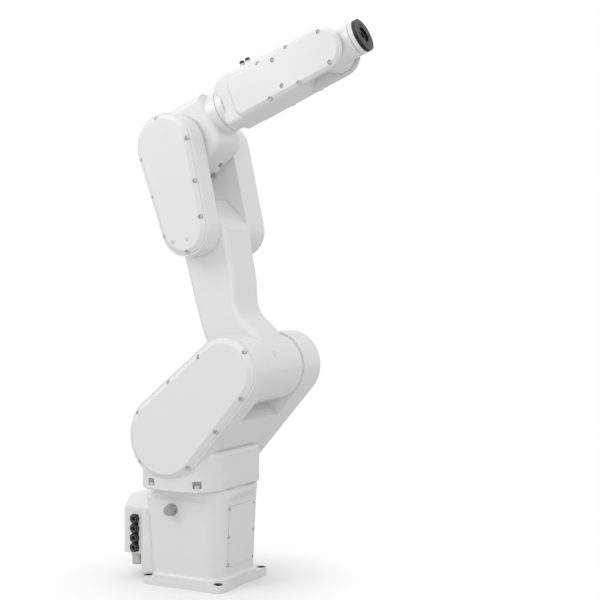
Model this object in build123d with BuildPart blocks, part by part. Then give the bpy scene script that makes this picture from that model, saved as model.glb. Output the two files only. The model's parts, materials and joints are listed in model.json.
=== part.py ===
from build123d import *
import os
from math import acos, atan2, cos, degrees, hypot, radians, sin, sqrt

# Compact six-axis industrial robot arm on a square foot plate.
# Millimetres, +Z up. The origin is on the floor, on the vertical axis on which the arm turns.
# +X is the robot's front. The arm stands in the plane Y = 0, with its joint pins along Y,
# so that "near" is the -Y side and "far" the +Y side.

# Places of the joint axes
shoulder_height = 536
shoulder_offset = 150
lower_arm_length = 578
elbow_offset = 45
seam_distance = 135
wrist_distance = 450
disc_face_distance = 94

# The pose at rest, in degrees
arm_lean = 19.5
forearm_rise = 22.5

# Reach of the joints from that pose, in degrees: backwards and forwards
shoulder_back = 80.5
shoulder_front = 149.5
elbow_down = 68
elbow_back = 207
wrist_swing = 130

# Clearances
moving_gap = 5
running_gap = 0.3
seam_gap = 2.5
seat_gap = 0.2
overrun = 10

# Foot plate
foot_side = 228
foot_thickness = 21
foot_corner = 13
foot_scallop_depth = 3
foot_scallop_radius = 300
hole_pitch = 203.6
foot_hole_radius = 7
spotface_radius = 12
spotface_depth = 1.5

# Base casting
body_front_foot = 100
body_front_top = 106
body_rear_foot = 116
body_rear_top = 128
body_half_foot = 100
body_half_top = 107
body_corner = 50
body_pad_height = 3
body_pad_reach = 9
body_pad_round_share = 0.85
shoulder_start = 212
crown_start = 232
crown_side = 240
crown_corner = 94
base_top = 241
base_edge = 2
base_bearing_radius = 104

# Front cover
front_cover_width = 115
front_cover_height = 147
front_cover_bottom = 52
front_cover_thickness = 5
front_cover_proud = 2
front_cover_corner = 6
cover_notch_radius = 5

# Rear connector box
box_rear = 207
box_front = 149
box_width = 138
box_bottom = 60
box_top = 166
box_corner = 14
box_wall = 6
box_skirt = 10
box_shoulder_step = 2
box_shoulder_edge = 4
cap_height = 40
cap_band = 10
cap_inset = 13
connector_count = 4
connector_radius = 11.5
connector_pitch = 24.2
connector_reach = 9
connector_bore = 6.5
connector_x = -166
connector_height = 112
power_x = -176
power_wall_gap = 1.5
power_radius = 14
power_length = 31
power_collar_radius = 16.5
power_collar_length = 8
plug_radius = 12
plug_length = 17
plug_collar_radius = 15
plug_collar_length = 4
plug_x = -28
plug_z = 190

# Swing casting
swing_side_x = 226
swing_side_y = 296
swing_corner = 78
swing_shift = -11
swing_top = 336
swing_edge = 10
rim_ledge = 9
rim_pocket_radius = 11
rim_pocket_height = 17
rim_pocket_inset = 5
rim_pocket_x = 62
ear_top_radius = 86
ear_foot_radius = 106
ear_foot_x = -18
ear_foot_z = 373
near_ear_face = 148
far_ear_face = 171
shoulder_gap = 176

# Chamfered covers on the ears
cover_margin = 5
shoulder_cover_thickness = 13.6
shoulder_cover_bevel = 12
elbow_cover_thickness = 12
elbow_cover_bevel = 10
screw_pocket_radius = 5.5
screw_flange = 3
screw_inset = 4
shoulder_top_angles = (41, 153)
shoulder_foot_angles = (-46, -139, 145)
shoulder_low_shares = (0.06, 0.52)
shoulder_high_shares = (0.6,)
elbow_top_angles = (88, -7, 187)
elbow_foot_angles = (10, -98, 178)
elbow_low_shares = (0.5,)
elbow_high_shares = (0.5,)

# Lower arm
hub_radius = 83
beam_thickness = 120
beam_rear_middle = 86.5
beam_rear_top = 76
beam_front_top = 66
beam_front_upper = 56
beam_front_middle = 40
beam_front_waist = 28
beam_flare = 57
beam_rear_share = 0.35
beam_upper_share = 0.69
beam_middle_share = 0.28
waist_height = 140
flare_height = 80
flare_end_angle = 25
beam_edge = 14
elbow_ear_radius = 81
elbow_foot_radius = 67
elbow_foot_shift = -12
elbow_foot_distance = 212
near_elbow_face = 118
far_elbow_face = 150
elbow_gap = 128
pin_radius = 52

# Elbow housing
elbow_hub_radius = 74
housing_rear = 30
housing_top = 53
housing_rear_round = 34
chin_x = 76
chin_y = -12
chin_radius = 40
neck_start = 108
housing_edge = 16
neck_radius = 56
neck_bearing_radius = 44

# Forearm
forearm_root_length = 6
forearm_root_height = 60
forearm_shoulder = 24
forearm_root_top = 69
forearm_bottom = 54
forearm_thickness = 102
forearm_edge = 8
forearm_root_round = 12
fork_gap = 92
fork_tip_radius = 54
forearm_cover_thickness = 9
forearm_cover_bevel = 7
forearm_cover_rear = 48
forearm_cover_height = 104
forearm_cover_corner = 22
cover_side_distances = (-81, -165)
cover_inner_distance = -124
cover_inner_height = 34
cover_tip_distance = 12
cover_tip_height = 40
outlet_radius = 6
outlet_length = 18
outlet_foot_radius = 8
outlet_foot_length = 6
outlet_spacing = 17
outlet_distance = 236
outlet_side = 18

# Wrist and turning disc
wrist_hub_radius = 45
wrist_radius = 40.6
wrist_front = 72
wrist_pin_radius = 26
disc_radius = 40.6
disc_bearing_radius = 30
disc_pocket_radius = 20
disc_pocket_depth = 5
disc_bore_radius = 7
tool_hole_count = 4
tool_hole_circle = 50
tool_hole_radius = 3
tool_hole_depth = 9

# Frames. Local x of the shoulder frame runs across the lower arm, local y up along it.
# Local x of the forearm frame runs towards the wrist, local y up across the forearm.
shoulder = Plane(
    origin=(shoulder_offset, 0, shoulder_height),
    x_dir=(cos(radians(arm_lean)), 0, sin(radians(arm_lean))),
    z_dir=(0, -1, 0),
)
elbow_point = shoulder.from_local_coords(Vector(0, lower_arm_length, 0))
elbow = Plane(origin=elbow_point, x_dir=shoulder.x_dir, z_dir=shoulder.z_dir)
forearm = Plane(
    origin=elbow_point,
    x_dir=(cos(radians(forearm_rise)), 0, sin(radians(forearm_rise))),
    z_dir=(0, -1, 0),
)
wrist = Plane(
    origin=forearm.from_local_coords(Vector(wrist_distance, elbow_offset, 0)),
    x_dir=forearm.x_dir,
    z_dir=(0, -1, 0),
)
upright = Plane(origin=(0, 0, 0), x_dir=(1, 0, 0), z_dir=(0, -1, 0))


def forearm_section(distance):
    """Plane across the forearm's axis, this far ahead of the elbow pin; local x is +Y, local y is up."""
    origin = forearm.from_local_coords(Vector(distance, elbow_offset, 0))
    return Plane(origin=origin, x_dir=(0, 1, 0), z_dir=forearm.x_dir)


def turned(radius, angle):
    """Point at a radius and an angle in degrees, in a frame's own plane."""
    return (radius * cos(radians(angle)), radius * sin(radians(angle)))


def shifted(point, distance, angle):
    """The point moved by a distance at an angle in degrees."""
    step = turned(distance, angle)
    return (point[0] + step[0], point[1] + step[1])


def stadium(top_radius, foot_radius, foot):
    """Outline round a circle at the frame's origin and a second one at the foot, with its tangents."""
    Circle(top_radius)
    with Locations(foot):
        Circle(foot_radius)
    make_hull()


def sweep_room(radius, directions, reach):
    """Cuts the room that a turning arm needs: a disc, and one strip beyond it for each end of the swing.

    Each direction is (angle, clearance, turn): the strip's edge runs at the angle, this far off the pin
    on the side given by turn, and the strip is open on its other side.
    """
    Circle(radius)
    for angle, clearance, turn in directions:
        start = turned(clearance, angle + turn)
        end = shifted(start, reach, angle)
        Polygon(
            [start, end, shifted(end, reach, angle - turn), shifted(start, reach, angle - turn)],
            align=None,
        )


# Foot plate: square with round ears and shallow scalloped sides
with BuildPart() as foot_plate:
    with BuildSketch(Plane.XY):
        RectangleRounded(foot_side, foot_side, foot_corner)
        with PolarLocations(foot_side / 2 + foot_scallop_radius - foot_scallop_depth, 4):
            Circle(foot_scallop_radius, mode=Mode.SUBTRACT)
    extrude(amount=foot_thickness)
    with Locations(Plane.XY.offset(foot_thickness)):
        with GridLocations(hole_pitch, hole_pitch, 2, 2):
            CounterBoreHole(foot_hole_radius, spotface_radius, spotface_depth)
foot_plate.part.label = "foot_plate"

# Base casting: tapered rounded body on a thin pad, round crown under the seam, flat shoulder at the rear
def body_outline(front, rear, half, corner):
    """Rounded outline of the base, which reaches further back than forward."""
    with Locations(((front - rear) / 2, 0)):
        RectangleRounded(front + rear, 2 * half, corner)


def body_face(foot_reach, top_reach, height, outward, across):
    """Plane on a tapered side of the base at a height; local x is across the side, local y up it."""
    rise = shoulder_start - foot_thickness
    reach = foot_reach + (top_reach - foot_reach) * (height - foot_thickness) / rise
    origin = outward * reach + Vector(0, 0, height)
    return Plane(origin=origin, x_dir=across, z_dir=outward * rise - Vector(0, 0, top_reach - foot_reach))


pad_top = foot_thickness + body_pad_height
front_face = body_face(
    body_front_foot,
    body_front_top,
    front_cover_bottom + front_cover_height / 2,
    Vector(1, 0, 0),
    Vector(0, 1, 0),
)
with BuildPart() as base_casting:
    with BuildSketch(Plane.XY.offset(foot_thickness)):
        body_outline(
            body_front_foot + body_pad_reach,
            body_rear_foot + body_pad_reach,
            body_half_foot + body_pad_reach,
            body_corner + body_pad_reach,
        )
    extrude(amount=body_pad_height)
    with BuildSketch(Plane.XY.offset(foot_thickness)):
        body_outline(body_front_foot, body_rear_foot, body_half_foot, body_corner)
    with BuildSketch(Plane.XY.offset(shoulder_start)):
        body_outline(body_front_top, body_rear_top, body_half_top, body_corner)
    loft()
    pad_face = faces().filter_by(Axis.Z).sort_by(Axis.Z)[1]
    fillet(pad_face.inner_wires()[0].edges(), body_pad_reach * body_pad_round_share)
    with BuildSketch(Plane.XY.offset(shoulder_start)):
        body_outline(body_front_top, body_rear_top, body_half_top, body_corner)
    with BuildSketch(Plane.XY.offset(crown_start)):
        RectangleRounded(crown_side, crown_side, crown_corner)
    loft()
    with BuildSketch(Plane.XY.offset(crown_start)):
        RectangleRounded(crown_side, crown_side, crown_corner)
    extrude(amount=base_top - crown_start)
    chamfer(faces().sort_by(Axis.Z)[-1].edges(), base_edge)
    with BuildSketch(Plane.XY.offset(pad_top)):
        with Locations((-box_front / 2, 0)):
            Rectangle(box_front, box_width + 2 * box_shoulder_step)
    extrude(amount=box_top - pad_top)
    fillet(edges().filter_by(Axis.Z).group_by(Axis.X)[0], box_shoulder_edge)
    with BuildSketch(Plane.XY.offset(foot_thickness)):
        with GridLocations(hole_pitch, hole_pitch, 2, 2):
            Circle(spotface_radius)
    extrude(amount=body_pad_height + body_pad_reach, mode=Mode.SUBTRACT)
    with BuildSketch(Plane.XY.offset(base_top)):
        Circle(base_bearing_radius)
    extrude(amount=seam_gap - running_gap)
    with BuildSketch(front_face.offset(front_cover_proud - front_cover_thickness)):
        RectangleRounded(
            front_cover_width + 2 * seat_gap,
            front_cover_height + 2 * seat_gap,
            front_cover_corner + seat_gap,
        )
    extrude(amount=front_cover_thickness + overrun, mode=Mode.SUBTRACT)
base_casting.part.label = "base_casting"

# Front cover: screwed plate in its recess
with BuildPart() as front_cover:
    with BuildSketch(front_face.offset(front_cover_proud - front_cover_thickness)):
        RectangleRounded(front_cover_width, front_cover_height, front_cover_corner)
    extrude(amount=front_cover_thickness)
    with BuildSketch(front_face.offset(front_cover_proud)):
        with GridLocations(front_cover_width, front_cover_height / 2 - cover_notch_radius, 2, 3):
            Circle(cover_notch_radius)
    extrude(amount=-front_cover_proud, mode=Mode.SUBTRACT)
front_cover.part.label = "front_cover"


def box_outline(inset):
    """Outline of the box from its rear to the middle of the base, this far inside its walls."""
    with Locations((-box_rear / 2, 0)):
        RectangleRounded(box_rear - 2 * inset, box_width - 2 * inset, box_corner)


# Rear connector box, open below inside its skirt
box_middle = -(box_rear + box_front) / 2
with BuildPart() as connector_box:
    with BuildSketch(Plane.XY.offset(box_bottom)):
        box_outline(0)
    extrude(amount=box_top - box_bottom)
    with BuildSketch(Plane.XY.offset(box_bottom)):
        with Locations((box_middle, 0)):
            Rectangle(box_rear - box_front - 2 * box_wall, box_width - 2 * box_wall)
    extrude(amount=box_skirt, mode=Mode.SUBTRACT)
    add(base_casting.part, mode=Mode.SUBTRACT)
connector_box.part.label = "connector_box"

# Hipped cap on the box
with BuildPart() as box_cap:
    with BuildSketch(Plane.XY.offset(box_top)):
        box_outline(0)
    extrude(amount=cap_band)
    with BuildSketch(Plane.XY.offset(box_top + cap_band)):
        box_outline(0)
    with BuildSketch(Plane.XY.offset(box_top + cap_height)):
        box_outline(cap_inset)
    loft()
    add(base_casting.part, mode=Mode.SUBTRACT)
box_cap.part.label = "box_cap"

# Column of air connectors on the near side of the box
with BuildPart() as air_connectors:
    with BuildSketch(upright.offset(box_width / 2)):
        with Locations((connector_x, connector_height)):
            with GridLocations(connector_radius, connector_pitch, 1, connector_count):
                Circle(connector_radius)
                Circle(connector_bore, mode=Mode.SUBTRACT)
    extrude(amount=connector_reach)
air_connectors.part.label = "air_connectors"

# Round metal power connector that points down from the box, beside its near wall
power_y = -(box_width / 2 - box_wall - power_wall_gap - power_collar_radius)
with BuildPart() as power_connector:
    with BuildSketch(Plane.XY.offset(box_bottom + box_skirt)):
        with Locations((power_x, power_y)):
            Circle(power_radius)
    extrude(amount=-(box_skirt + power_length))
    with BuildSketch(Plane.XY.offset(box_bottom + box_skirt)):
        with Locations((power_x, power_y)):
            Circle(power_collar_radius)
    extrude(amount=-power_collar_length)
power_connector.part.label = "power_connector"

# Metal plug on the near side of the base
near_face = body_face(body_half_foot, body_half_top, plug_z, Vector(0, -1, 0), Vector(1, 0, 0))
with BuildPart() as side_plug:
    with BuildSketch(near_face):
        with Locations((plug_x, 0)):
            Circle(plug_collar_radius)
    extrude(amount=plug_collar_length)
    with BuildSketch(near_face.offset(plug_collar_length)):
        with Locations((plug_x, 0)):
            Circle(plug_radius)
    extrude(amount=plug_length)
side_plug.part.label = "side_plug"

# Swing casting: column on the seam, two leaning ears and the room in which the lower arm swings
ear_foot = (ear_foot_x - shoulder_offset, ear_foot_z - shoulder_height)
swing_bottom = base_top + seam_gap
pin_frame = Plane(origin=(shoulder_offset, 0, shoulder_height), x_dir=(1, 0, 0), z_dir=(0, -1, 0))
arm_angle = 90 + arm_lean
hub_room = hub_radius + moving_gap


def rim_point(x, side):
    """Centre of a rim pocket: a little inside the column's side at this x."""
    beyond = max(0, abs(x - swing_shift) - swing_side_x / 2 + swing_corner)
    reach = swing_side_y / 2 - swing_corner + sqrt(swing_corner**2 - beyond**2)
    return (x, side * (reach - rim_pocket_inset))


with BuildPart() as swing_casting:
    with BuildSketch(Plane.XY.offset(swing_bottom)):
        with Locations((swing_shift, 0)):
            RectangleRounded(swing_side_x, swing_side_y, swing_corner)
    extrude(amount=swing_top - swing_bottom)
    fillet(faces().sort_by(Axis.Z)[-1].edges(), swing_edge)
    with BuildSketch(pin_frame.offset(near_ear_face)):
        stadium(ear_top_radius, ear_foot_radius, ear_foot)
    extrude(amount=-(near_ear_face + far_ear_face))
    with BuildSketch(pin_frame.offset(shoulder_gap / 2)):
        sweep_room(
            hub_room,
            [
                (arm_angle + shoulder_back, hub_room, 90),
                (arm_angle - shoulder_front, hub_room, -90),
            ],
            swing_side_x * 2,
        )
    extrude(amount=-shoulder_gap, mode=Mode.SUBTRACT)
    with BuildSketch(pin_frame.offset(shoulder_gap / 2)):
        Circle(pin_radius)
    extrude(amount=-(moving_gap - running_gap))
    with BuildSketch(pin_frame.offset(-shoulder_gap / 2)):
        Circle(pin_radius)
    extrude(amount=moving_gap - running_gap)
    with BuildSketch(Plane.XY.offset(swing_bottom + rim_ledge)):
        with Locations([rim_point(x, side) for x in (rim_pocket_x, -rim_pocket_x) for side in (1, -1)]):
            Circle(rim_pocket_radius)
    extrude(amount=rim_pocket_height, mode=Mode.SUBTRACT)
swing_casting.part.label = "swing_casting"


def rim_points(top_radius, foot_radius, foot, angles, foot_angles, low_shares, high_shares):
    """Places of a cover's screws just inside its rim: round the top, round the foot, along the two sides."""
    top = top_radius - screw_inset
    low = foot_radius - screw_inset
    line = degrees(atan2(foot[1], foot[0]))
    turn = degrees(acos((top - low) / hypot(foot[0], foot[1])))
    points = [turned(top, angle) for angle in angles]
    points += [shifted(foot, low, angle) for angle in foot_angles]
    for shares, angle in ((low_shares, line + turn), (high_shares, line - turn)):
        start = turned(top, angle)
        end = shifted(foot, low, angle)
        for share in shares:
            points.append((start[0] + share * (end[0] - start[0]), start[1] + share * (end[1] - start[1])))
    return points


def mirrored(points):
    """The same points on the far side, where local x runs the other way."""
    return [(-x, y) for x, y in points]


def bevelled_cover(frame, top_radius, foot_radius, foot, thickness, bevel, screws):
    """Tapered cover with a wide bevel and a pocket for each screw; it rises along the frame's z."""
    with BuildPart() as cover:
        with BuildSketch(frame):
            stadium(top_radius, foot_radius, foot)
        extrude(amount=thickness)
        chamfer(faces().sort_by(Axis(frame.origin, frame.z_dir))[-1].edges(), bevel)
        with BuildSketch(frame.offset(screw_flange)):
            with Locations(screws):
                Circle(screw_pocket_radius)
        extrude(amount=thickness, mode=Mode.SUBTRACT)
    return cover


def far_side(frame, distance):
    """The frame seen from the far side, this far out: local x is turned round, local z is +Y."""
    origin = frame.origin + Vector(0, distance, 0)
    return Plane(origin=origin, x_dir=-frame.x_dir, z_dir=-frame.z_dir)


# Covers of the shoulder ears
shoulder_cover_top = ear_top_radius - cover_margin
shoulder_cover_foot = ear_foot_radius - cover_margin
shoulder_screws = rim_points(
    shoulder_cover_top,
    shoulder_cover_foot,
    ear_foot,
    shoulder_top_angles,
    shoulder_foot_angles,
    shoulder_low_shares,
    shoulder_high_shares,
)
near_shoulder_cover = bevelled_cover(
    pin_frame.offset(near_ear_face),
    shoulder_cover_top,
    shoulder_cover_foot,
    ear_foot,
    shoulder_cover_thickness,
    shoulder_cover_bevel,
    shoulder_screws,
)
near_shoulder_cover.part.label = "near_shoulder_cover"
far_shoulder_cover = bevelled_cover(
    far_side(pin_frame, far_ear_face),
    shoulder_cover_top,
    shoulder_cover_foot,
    (-ear_foot[0], ear_foot[1]),
    shoulder_cover_thickness,
    shoulder_cover_bevel,
    mirrored(shoulder_screws),
)
far_shoulder_cover.part.label = "far_shoulder_cover"

# Lower arm casting: shoulder drum, hollow-fronted beam, and the elbow fork with its deep room
hub_thickness = shoulder_gap - 2 * moving_gap
foot_height = lower_arm_length - elbow_foot_distance
elbow_foot = (elbow_foot_shift, -elbow_foot_distance)
elbow_room = elbow_gap - 2 * moving_gap
housing_reach = elbow_offset + housing_top
roll_reach = hypot(forearm_thickness / 2 - forearm_edge, forearm_root_top - forearm_edge) + forearm_edge
lowest_angle = forearm_rise - arm_lean - elbow_down
highest_angle = forearm_rise - arm_lean + elbow_back
with BuildPart() as lower_arm_casting:
    with BuildSketch(shoulder):
        with BuildLine():
            Spline(
                (-hub_radius, 0),
                (-beam_rear_middle, foot_height * beam_rear_share),
                (-beam_rear_top, foot_height),
                tangents=[(0, 1), (0, 1)],
            )
            Line((-beam_rear_top, foot_height), (beam_front_top, foot_height))
            Spline(
                (beam_front_top, foot_height),
                (beam_front_upper, waist_height + (foot_height - waist_height) * beam_upper_share),
                (beam_front_middle, waist_height + (foot_height - waist_height) * beam_middle_share),
                (beam_front_waist, waist_height),
                (beam_flare, flare_height),
                turned(hub_radius, flare_end_angle),
                tangents=[(0, -1), turned(1, flare_end_angle - 90)],
            )
            Polyline(turned(hub_radius, flare_end_angle), (0, 0), (-hub_radius, 0))
        make_face()
    extrude(amount=beam_thickness / 2, both=True)
    fillet(faces().filter_by(Axis.Y).edges(), beam_edge)
    with BuildSketch(shoulder):
        Circle(hub_radius)
    extrude(amount=hub_thickness / 2, both=True)
    with BuildSketch(elbow.offset(near_elbow_face)):
        stadium(elbow_ear_radius, elbow_foot_radius, elbow_foot)
    extrude(amount=-(near_elbow_face + far_elbow_face))
    with BuildSketch(elbow):
        sweep_room(
            housing_reach + 2 * moving_gap,
            [
                (lowest_angle, roll_reach + moving_gap - elbow_offset, -90),
                (highest_angle, roll_reach + moving_gap + elbow_offset, 90),
            ],
            lower_arm_length,
        )
        with Locations(turned(hypot(chin_x, chin_y), degrees(atan2(chin_y, chin_x)) + lowest_angle)):
            Circle(chin_radius + moving_gap)
    extrude(amount=elbow_gap / 2, both=True, mode=Mode.SUBTRACT)
    for side in (1, -1):
        with BuildSketch(elbow.offset(side * elbow_gap / 2)):
            Circle(pin_radius)
        extrude(amount=-side * (moving_gap - running_gap))
lower_arm_casting.part.label = "lower_arm_casting"

# Covers of the elbow ears
elbow_cover_top = elbow_ear_radius - cover_margin
elbow_cover_foot = elbow_foot_radius - cover_margin
elbow_screws = rim_points(
    elbow_cover_top,
    elbow_cover_foot,
    elbow_foot,
    elbow_top_angles,
    elbow_foot_angles,
    elbow_low_shares,
    elbow_high_shares,
)
near_elbow_cover = bevelled_cover(
    elbow.offset(near_elbow_face),
    elbow_cover_top,
    elbow_cover_foot,
    elbow_foot,
    elbow_cover_thickness,
    elbow_cover_bevel,
    elbow_screws,
)
near_elbow_cover.part.label = "near_elbow_cover"
far_elbow_cover = bevelled_cover(
    far_side(elbow, far_elbow_face),
    elbow_cover_top,
    elbow_cover_foot,
    (-elbow_foot[0], elbow_foot[1]),
    elbow_cover_thickness,
    elbow_cover_bevel,
    mirrored(elbow_screws),
)
far_elbow_cover.part.label = "far_elbow_cover"

# Elbow housing: drum on the elbow pin, deep back above it, chin and round neck up to the seam
with BuildPart() as elbow_casting:
    with BuildSketch(forearm):
        Circle(elbow_hub_radius)
        with Locations((housing_rear_round - housing_rear, elbow_offset + housing_top - housing_rear_round)):
            Circle(housing_rear_round)
        with Locations((neck_start - housing_edge, elbow_offset)):
            Rectangle(2 * housing_edge, 2 * housing_top)
        with Locations((chin_x, chin_y)):
            Circle(chin_radius)
        make_hull()
    extrude(amount=elbow_room / 2, both=True)
    fillet(faces().filter_by(Axis.Y).edges(), housing_edge)
    with BuildSketch(forearm_section(neck_start - housing_edge)):
        Circle(neck_radius)
    extrude(amount=seam_distance - neck_start + housing_edge)
    with BuildSketch(forearm_section(seam_distance)):
        Circle(neck_bearing_radius)
    extrude(amount=seam_gap - running_gap)
elbow_casting.part.label = "elbow_casting"


def forearm_cover_outline(direction):
    """Outline of a forearm cover: square rear with round corners, round over the wrist pin."""
    rear = direction * (seam_distance + forearm_cover_rear - wrist_distance + forearm_cover_corner)
    corner_height = forearm_cover_height / 2 - forearm_cover_corner
    Circle(forearm_cover_height / 2)
    with Locations((rear, corner_height), (rear, -corner_height)):
        Circle(forearm_cover_corner)
    make_hull()


# Forearm casting: short round neck, deep body that rises and then tapers, fork with a throat for the wrist
root_start = seam_distance + seam_gap
body_start = root_start + forearm_root_length
root_corner = body_start + forearm_root_round
with BuildPart() as forearm_casting:
    with BuildSketch(forearm):
        with Locations((wrist_distance, elbow_offset)):
            Circle(fork_tip_radius)
        with Locations(
            (root_corner + forearm_shoulder, elbow_offset + forearm_root_top - forearm_root_round),
            (root_corner, elbow_offset + forearm_root_height - forearm_root_round),
            (root_corner, elbow_offset - forearm_bottom + forearm_root_round),
        ):
            Circle(forearm_root_round)
        make_hull()
    extrude(amount=forearm_thickness / 2, both=True)
    fillet(faces().filter_by(Axis.Y).edges(), forearm_edge)
    with BuildSketch(forearm_section(root_start)):
        Circle(neck_radius)
    extrude(amount=forearm_root_length + forearm_root_round)
    with BuildSketch(wrist):
        sweep_room(
            wrist_hub_radius + moving_gap,
            [
                (wrist_swing, wrist_radius + moving_gap, 90),
                (-wrist_swing, wrist_radius + moving_gap, -90),
            ],
            wrist_distance,
        )
        with Locations((fork_tip_radius, 0)):
            Rectangle(2 * fork_tip_radius, 2 * fork_tip_radius + 2 * overrun)
    extrude(amount=fork_gap / 2, both=True, mode=Mode.SUBTRACT)
    for side in (1, -1):
        with BuildSketch(wrist.offset(side * fork_gap / 2)):
            Circle(wrist_pin_radius)
        extrude(amount=-side * (moving_gap - running_gap))
forearm_casting.part.label = "forearm_casting"


# Covers of the fork's arms
cover_side_height = forearm_cover_height / 2 - screw_inset
forearm_screws = [(x, side * cover_side_height) for x in cover_side_distances for side in (1, -1)]
forearm_screws += [(cover_inner_distance, side * cover_inner_height) for side in (1, -1)]
forearm_screws += [(cover_tip_distance, side * cover_tip_height) for side in (1, -1)]


def forearm_cover(frame, direction, screws):
    """Long bevelled side cover over the fork's arm, with a pocket for each screw."""
    with BuildPart() as cover:
        with BuildSketch(frame):
            forearm_cover_outline(direction)
        extrude(amount=forearm_cover_thickness)
        chamfer(faces().sort_by(Axis(frame.origin, frame.z_dir))[-1].edges(), forearm_cover_bevel)
        with BuildSketch(frame.offset(screw_flange)):
            with Locations(screws):
                Circle(screw_pocket_radius)
        extrude(amount=forearm_cover_thickness, mode=Mode.SUBTRACT)
    return cover


near_forearm_cover = forearm_cover(wrist.offset(forearm_thickness / 2), 1, forearm_screws)
near_forearm_cover.part.label = "near_forearm_cover"
far_forearm_cover = forearm_cover(far_side(wrist, forearm_thickness / 2), -1, mirrored(forearm_screws))
far_forearm_cover.part.label = "far_forearm_cover"

# Black air outlets on the sloping top of the forearm, each with a wider foot
outlet_seat = forearm.from_local_coords(Vector(outlet_distance, elbow_offset + fork_tip_radius, outlet_side))
outlet_frame = Plane(origin=outlet_seat, x_dir=forearm.x_dir, z_dir=forearm.y_dir)
outlet_start = forearm_root_top - fork_tip_radius
with BuildPart() as air_outlets:
    with BuildSketch(outlet_frame):
        with GridLocations(outlet_spacing, 0, 2, 1):
            Circle(outlet_radius)
    extrude(amount=outlet_start + outlet_length)
    with BuildSketch(outlet_frame):
        with GridLocations(outlet_spacing, 0, 2, 1):
            Circle(outlet_foot_radius)
    extrude(amount=outlet_start + outlet_foot_length)
    add(forearm_casting.part, mode=Mode.SUBTRACT)
air_outlets.part.label = "air_outlets"

# Wrist: drum between the fork's tips and the round nose in front of it
wrist_thickness = fork_gap - 2 * moving_gap


def nose_plane(distance):
    """Plane across the turning disc's axis, this far ahead of the wrist pin."""
    origin = wrist.from_local_coords(Vector(distance, 0, 0))
    return Plane(origin=origin, x_dir=(0, 1, 0), z_dir=wrist.x_dir)


disc_start = wrist_front + seam_gap / 2
with BuildPart() as wrist_casting:
    with BuildSketch(wrist):
        Circle(wrist_hub_radius)
    extrude(amount=wrist_thickness / 2, both=True)
    with BuildSketch(nose_plane(0)):
        Circle(wrist_radius)
    extrude(amount=wrist_front)
    with BuildSketch(nose_plane(wrist_front)):
        Circle(disc_bearing_radius)
    extrude(amount=seam_gap / 2 - running_gap)
wrist_casting.part.label = "wrist_casting"

# Turning disc at the tool end
with BuildPart() as turning_disc:
    with BuildSketch(nose_plane(disc_start)):
        Circle(disc_radius)
    extrude(amount=disc_face_distance - disc_start)
    with BuildSketch(nose_plane(disc_face_distance)):
        Circle(disc_pocket_radius)
    extrude(amount=-disc_pocket_depth, mode=Mode.SUBTRACT)
    with Locations(nose_plane(disc_face_distance - disc_pocket_depth)):
        Hole(disc_bore_radius, depth=tool_hole_depth)
    with Locations(nose_plane(disc_face_distance)):
        with PolarLocations(tool_hole_circle / 2, tool_hole_count):
            Hole(tool_hole_radius, depth=tool_hole_depth)
turning_disc.part.label = "turning_disc"

os.makedirs("parts", exist_ok=True)
for piece in (
    foot_plate,
    base_casting,
    front_cover,
    connector_box,
    box_cap,
    air_connectors,
    power_connector,
    side_plug,
    swing_casting,
    near_shoulder_cover,
    far_shoulder_cover,
    lower_arm_casting,
    near_elbow_cover,
    far_elbow_cover,
    elbow_casting,
    forearm_casting,
    near_forearm_cover,
    far_forearm_cover,
    air_outlets,
    wrist_casting,
    turning_disc,
):
    export_step(piece.part, f"parts/{piece.part.label}.step")
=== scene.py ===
# %% [markdown]
# # A compact robot arm in glossy white castings
#
# The arm's castings, covers and fittings are already in place when this lesson starts. They come from
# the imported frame, in metres, with the joint axes beside them. Blender adds what makes them look real:
# the paint, the black and plated parts, the screws in their pockets, the seals and the small fittings.

import json
from math import acos, atan2, cos, degrees, hypot, pi, radians, sin

import bmesh
import bpy
from mathutils import Matrix, Vector


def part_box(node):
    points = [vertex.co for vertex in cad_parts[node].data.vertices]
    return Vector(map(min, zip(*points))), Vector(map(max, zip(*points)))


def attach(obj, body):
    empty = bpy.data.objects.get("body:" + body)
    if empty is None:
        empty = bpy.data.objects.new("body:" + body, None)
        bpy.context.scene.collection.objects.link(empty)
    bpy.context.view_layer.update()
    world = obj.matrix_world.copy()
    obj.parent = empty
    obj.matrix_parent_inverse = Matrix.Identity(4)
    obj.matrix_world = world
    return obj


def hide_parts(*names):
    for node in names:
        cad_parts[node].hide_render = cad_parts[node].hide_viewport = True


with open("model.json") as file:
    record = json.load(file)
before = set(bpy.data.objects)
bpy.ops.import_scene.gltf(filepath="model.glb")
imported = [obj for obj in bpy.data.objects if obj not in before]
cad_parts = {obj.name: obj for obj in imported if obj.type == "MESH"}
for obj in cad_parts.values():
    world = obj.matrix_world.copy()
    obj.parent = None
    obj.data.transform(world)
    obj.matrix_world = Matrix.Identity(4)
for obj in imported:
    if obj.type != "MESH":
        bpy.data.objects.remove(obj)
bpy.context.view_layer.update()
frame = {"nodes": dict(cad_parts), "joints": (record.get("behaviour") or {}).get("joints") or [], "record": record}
nodes = frame["nodes"]
slots = {row["node"]: row["material_slot"] for row in frame["record"]["subparts"]}

# %% [markdown]
# ## The camera
#
# The picture was taken level, from a little higher than the middle of the arm, with a long lens. A tilted
# camera would frame it too, but only a level one keeps upright edges upright. The horizon then lies above
# the middle of the frame, and a small lens shift puts it there, so the camera itself needs no tilt.

# %% Camera
picture_side = 600
focal_pixels = 1278.8
horizon_row = 264.2
sensor_width = 36.0
view_turn = radians(28.8)
camera_place = Vector((1.7574, -2.7040, 0.7912))

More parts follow.
